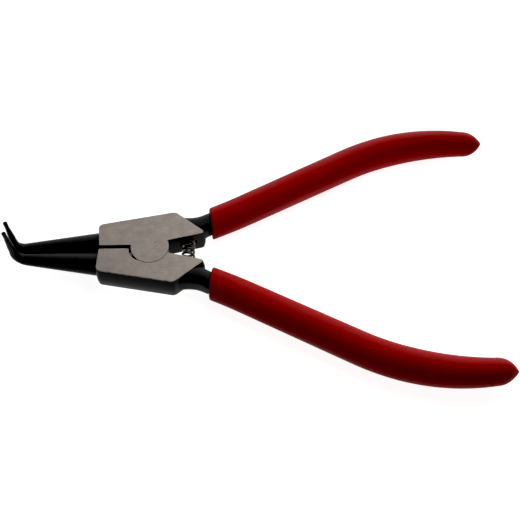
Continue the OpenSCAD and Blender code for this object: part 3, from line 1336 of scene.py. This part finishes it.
@dataclass
class Lever:
    """One forged half: head, jaw, neck and tang in a single piece."""

    side: Side
    head: Head = field(init=False)
    jaw: Jaw = field(init=False)
    handle: Handle = field(init=False)

    def __post_init__(self) -> None:
        """Makes the parts for this half."""
        self.head = Head(self.side)
        self.jaw = Jaw(self.side)
        self.handle = Handle(self.side)

    def build(self, rivet: Rivet, spring: ReturnSpring) -> Workpiece:
        """Joins the forging's forms, then cuts its recess, hole and seat.

        Args:
            rivet: rivet that goes through the head.
            spring: spring that sits in the heel.

        Returns:
            The forging.
        """
        forging = self.head.plate()
        forging.join(self.head.disc(), Joining.ADD)
        forging.join(self.handle.build(), Joining.ADD)
        forging.join(self.jaw.build(self.head), Joining.ADD)
        for cutter in self.head.recess():
            forging.join(cutter, Joining.CUT)
        forging.join(self.head.rivet_hole(rivet), Joining.CUT)
        forging.join(self.head.spring_seat(spring), Joining.CUT)
        forging.weld()
        return forging

    def dress(self, forging: Workpiece) -> None:
        """Grinds the head's two faces bright, gives their edges bright steel that is partly rubbed wear and
        partly a painted highlight, and leaves the rest black.

        Args:
            forging: the built forging.
        """
        forging.wear(BlackOxide(), GroundSteel(), RubbedAndHighlitEdge())
        forging.coat(Coat.OXIDE, lambda face: True)
        forging.coat(Coat.GROUND, self.is_ground)
        # The broken edges get bright steel: partly rubbed wear, partly a painted highlight
        forging.coat(Coat.EDGE, self.is_edge)
        forging.smooth()
        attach(forging.obj, self.side.body)
        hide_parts(f"{self.side.label}_lever")

    def from_ground(self, face: bmesh.types.BMFace) -> float:
        """Distance from a face's middle to the nearer ground plane."""
        z = face.calc_center_median().z
        return min(abs(z - BACK_Z), abs(z - FRONT_Z))

    def is_ground(self, face: bmesh.types.BMFace) -> bool:
        """Tells whether a face lies in one of the ground planes."""
        return abs(face.normal.z) > LEVEL and self.from_ground(face) < NEAR

    def is_edge(self, face: bmesh.types.BMFace) -> bool:
        """Tells whether a face belongs to the broken edge of a ground face.

        Args:
            face: the face.

        Returns:
            True if it does.
        """
        on_head = face.calc_center_median().x > -self.head.front - NEAR
        slants = UPRIGHT < abs(face.normal.z) < LEVEL
        return on_head and slants and self.from_ground(face) < self.head.edge_break


@dataclass
class Grip:
    """Dipped grip over a tang: a long bent sleeve with a rounded lip and a nose that runs to a point."""

    handle: Handle
    length: float = 108.95 * MM
    mouth_r: float = 5.6 * MM
    full_r: float = 5.9 * MM
    end_r: float = 4.7 * MM
    flatness: float = 0.97
    lip_r: float = 0.7 * MM
    mouth_angle: float = math.radians(7.5)
    # The upper half went this much deeper into the bath
    deeper: float = 0.4 * MM
    narrow_from: float = 69.0 * MM
    nose_len: float = 7.6 * MM
    # The nose bends away from the other grip
    nose_bend: float = math.radians(9)
    # The first power rounds the nose off, and the second one blunts its point
    nose_power: float = 2.3
    point_power: float = 0.88
    gap: float = 0.05 * MM
    sides: int = 64
    lip_steps: int = 5
    bend_steps: int = 28
    nose_steps: int = 14
    # Share of the nose's length at which the point is cut flat
    nose_cut: float = 0.985

    @property
    def mouth(self) -> Vector:
        """Middle of the slanting mouth."""
        deeper = self.deeper if self.handle.side is Side.UPPER else 0.0
        return self.handle.mouth - deeper * self.handle.heading

    @property
    def nose_at(self) -> float:
        """Distance along the handle from the mouth to the nose."""
        return self.length - self.nose_len

    def radius_at(self, along: float) -> float:
        """Radius of the grip between its lip and its nose.

        Args:
            along: distance along the handle from the mouth.

        Returns:
            The radius.
        """
        if along < self.narrow_from:
            return self.mouth_r + (self.full_r - self.mouth_r) * along / self.narrow_from
        share = (along - self.narrow_from) / (self.nose_at - self.narrow_from)
        return self.full_r - (self.full_r - self.end_r) * share ** 2

    def build(self) -> Workpiece:
        """Grows the sleeve along the handle, trims its mouth on the slant and hollows it for the tang.

        Returns:
            The sleeve.
        """
        line = self.handle
        sign = line.side.value
        lead = line.lead_len
        start = line.mouth - line.heading * lead
        name = f"{line.side.label}_dipped_grip"
        sleeve = Bar(name, start, line.heading, self.radius_at(-lead), self.sides)
        first_end = line.long_bend_at - line.straight_len
        long_run = self.nose_at - line.long_bend_at
        with sleeve.editing():
            sleeve.run(2 * lead, self.radius_at(lead))
            stops = self.stops(lead, first_end, line.first_bend_steps)
            sleeve.bend(Z_AXIS, line.first_bend_r, sign * line.first_bend_angle, stops)
            sleeve.run(line.straight_len, self.radius_at(line.long_bend_at))
            stops = self.stops(line.long_bend_at, self.nose_at, self.bend_steps)
            sleeve.bend(Z_AXIS, line.long_bend_r, -sign * long_run / line.long_bend_r, stops)
            step = self.nose_cut / self.nose_steps
            for i in range(1, self.nose_steps + 1):
                share = (1 - (i * step) ** self.nose_power) ** self.point_power
                sleeve.turn(Z_AXIS, sign * self.nose_bend / self.nose_steps)
                sleeve.run(self.nose_len * step, self.end_r * share)
            bpy.ops.mesh.select_all(action="SELECT")
            bpy.ops.transform.resize(value=(1, 1, self.flatness), center_override=(0, 0, MID_Z))
            outward = Matrix.Rotation(sign * self.mouth_angle, 3, "Z") @ -X_AXIS
            sleeve.trim(self.mouth, outward, closed=True)
            sleeve.break_edges(self.lip_r, self.lip_steps, lambda edge: self.on_mouth(edge, outward))
        sleeve.weld()
        sleeve.join(line.build(self.gap), Joining.CUT)
        return sleeve

    def stops(self, start: float, end: float, steps: int) -> list[float]:
        """Radii at equal steps along the handle.

        Args:
            start: distance at which the steps begin.
            end: distance at which they end.
            steps: number of steps.

        Returns:
            The radius at the end of each step.
        """
        return [self.radius_at(start + (end - start) * i / steps) for i in range(1, steps + 1)]

    def on_mouth(self, edge: bmesh.types.BMEdge, outward: Vector) -> bool:
        """Tells whether an edge lies in the plane of the mouth."""
        return all(abs((vertex.co - self.mouth).dot(outward)) < NEAR for vertex in edge.verts)

    def dress(self, sleeve: Workpiece) -> None:
        """Colours the sleeve and sets it on its half.

        Args:
            sleeve: the built sleeve.
        """
        side = self.handle.side
        sleeve.wear(DippedPvc())
        sleeve.smooth()
        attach(sleeve.obj, side.body)
        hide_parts(f"{side.label}_grip")


@dataclass
class Softbox:
    """A soft lamp, which shines straight down, or up when it is turned over."""

    name: str
    place: tuple[float, float, float]
    size: tuple[float, float]
    watts: float
    colour: str = "#ffffff"
    turned_over: bool = False

    def build(self) -> None:
        """Hangs the lamp, out of the camera's sight."""
        lamp = bpy.data.lights.new(self.name, "AREA")
        lamp.shape = "RECTANGLE"
        lamp.size, lamp.size_y = self.size
        lamp.energy = self.watts
        lamp.color = linear(self.colour)[:3]
        holder = bpy.data.objects.new(self.name, lamp)
        bpy.context.scene.collection.objects.link(holder)
        holder.location = self.place
        holder.rotation_euler.x = math.pi * self.turned_over
        holder.visible_camera = False


@dataclass
class Studio:
    """Light table, room light, lamps and camera."""

    aim: Vector = field(default_factory=lambda: Vector((38.28 * MM, -3.19 * MM, MID_Z)))
    azimuth: float = math.radians(-0.82)
    elevation: float = math.radians(56.75)
    distance: float = 358.2 * MM
    # Focal length in pixels, for an image 520 pixels wide
    focal_px: float = 1024.8
    image_px: float = 520.0
    sensor: float = 36.0
    clip_start: float = 10.0 * MM
    table_size: float = 6.0
    table_gap: float = 0.1 * MM
    sky: str = "#ffffff"
    light_from: tuple[float, float, float] = (0.215, 0.914, 0.343)
    light_range: tuple[float, float] = (0.68, 1.0)
    strengths: tuple[float, float] = (0.072, 2.3)
    # What the table throws back up, seen straight down
    bounce: float = 0.3
    lamp: Softbox = field(default_factory=lambda: Softbox(
        "overhead", (57 * MM, 14 * MM, MID_Z + 116 * MM), (60 * MM, 60 * MM), 0.022
    ))
    # Light that the table throws up between the handles, onto the upper one
    glow: Softbox = field(default_factory=lambda: Softbox(
        "table_glow", (82 * MM, 6 * MM, MID_Z - 25 * MM), (64 * MM, 30 * MM), 0.008, turned_over=True
    ))
    # The camera's contrast takes this much off the dark end
    black_level: float = 0.012

    def build(self) -> None:
        """Sets up everything round the object."""
        self.build_table()
        self.build_sky()
        self.lamp.build()
        self.glow.build()
        self.build_camera()
        settings = bpy.context.scene.view_settings
        settings.view_transform = "Standard"
        settings.use_curve_mapping = True
        settings.curve_mapping.black_level = (self.black_level,) * 3
        settings.curve_mapping.update()

    def build_table(self) -> None:
        """Lays the light table under the object."""
        table = Workpiece(
            "light_table",
            bpy.ops.mesh.primitive_plane_add,
            size=self.table_size,
            location=(0, 0, CAD_BOX[0].z - self.table_gap),
        )
        table.wear(LightTable())
        # The table shows, also in reflections, but it neither lights the object nor shades it
        table.obj.visible_diffuse = False
        table.obj.visible_shadow = False

    def build_sky(self) -> None:
        """Fills the room with a light that is brightest behind and above the object."""
        world = bpy.data.worlds.new("room")
        world.use_nodes = True
        tree = world.node_tree
        tree.nodes.clear()
        direction = add_node(tree, "TexCoord").outputs["Generated"]
        facing = add_node(tree, "VectorMath", {0: direction, 1: self.light_from}, operation="DOT_PRODUCT")
        strength = add_node(tree, "MapRange", {
            "Value": facing.outputs["Value"],
            "From Min": self.light_range[0],
            "From Max": self.light_range[1],
            "To Min": self.strengths[0],
            "To Max": self.strengths[1],
        }, interpolation_type="SMOOTHSTEP")
        down = add_node(tree, "VectorMath", {0: direction, 1: -Z_AXIS}, operation="DOT_PRODUCT")
        bounce = add_node(tree, "MapRange", {"Value": down.outputs["Value"], "To Max": self.bounce})
        both = add_node(tree, "Math", {0: strength.outputs[0], 1: bounce.outputs[0]}, operation="ADD")
        room = add_node(tree, "Background", {"Color": linear(self.sky), "Strength": both.outputs[0]})
        add_node(tree, "OutputWorld", {"Surface": room.outputs[0]})
        bpy.context.scene.world = world

    def build_camera(self) -> None:
        """Stands the camera at the picture's viewing angle."""
        camera = bpy.data.cameras.new("camera")
        camera.sensor_width = self.sensor
        camera.lens = self.focal_px / self.image_px * self.sensor
        camera.clip_start = self.clip_start
        holder = bpy.data.objects.new("camera", camera)
        bpy.context.scene.collection.objects.link(holder)
        level = math.cos(self.elevation)
        back = Vector((
            level * math.sin(self.azimuth),
            -level * math.cos(self.azimuth),
            math.sin(self.elevation),
        ))
        holder.location = self.aim + self.distance * back
        holder.rotation_euler = (-back).to_track_quat("-Z", "Y").to_euler()
        bpy.context.scene.camera = holder


def report(piece: Workpiece) -> None:
    """Logs a finished piece."""
    LOG.info("%s has %d faces", piece.obj.name, len(piece.obj.data.polygons))


def main() -> None:
    """Builds the pliers piece by piece, then the studio round them."""
    logging.basicConfig(level=logging.INFO, format="%(name)s: %(message)s")
    rivet = Rivet()
    spring = ReturnSpring()
    for side in Side:
        lever = Lever(side)
        forging = lever.build(rivet, spring)
        lever.dress(forging)
        report(forging)
        grip = Grip(lever.handle)
        sleeve = grip.build()
        grip.dress(sleeve)
        report(sleeve)
    pin = rivet.build()
    rivet.dress(pin)
    report(pin)
    wire = spring.build()
    spring.dress(wire)
    report(wire)
    Studio().build()


if __name__ == "__main__":
    main()
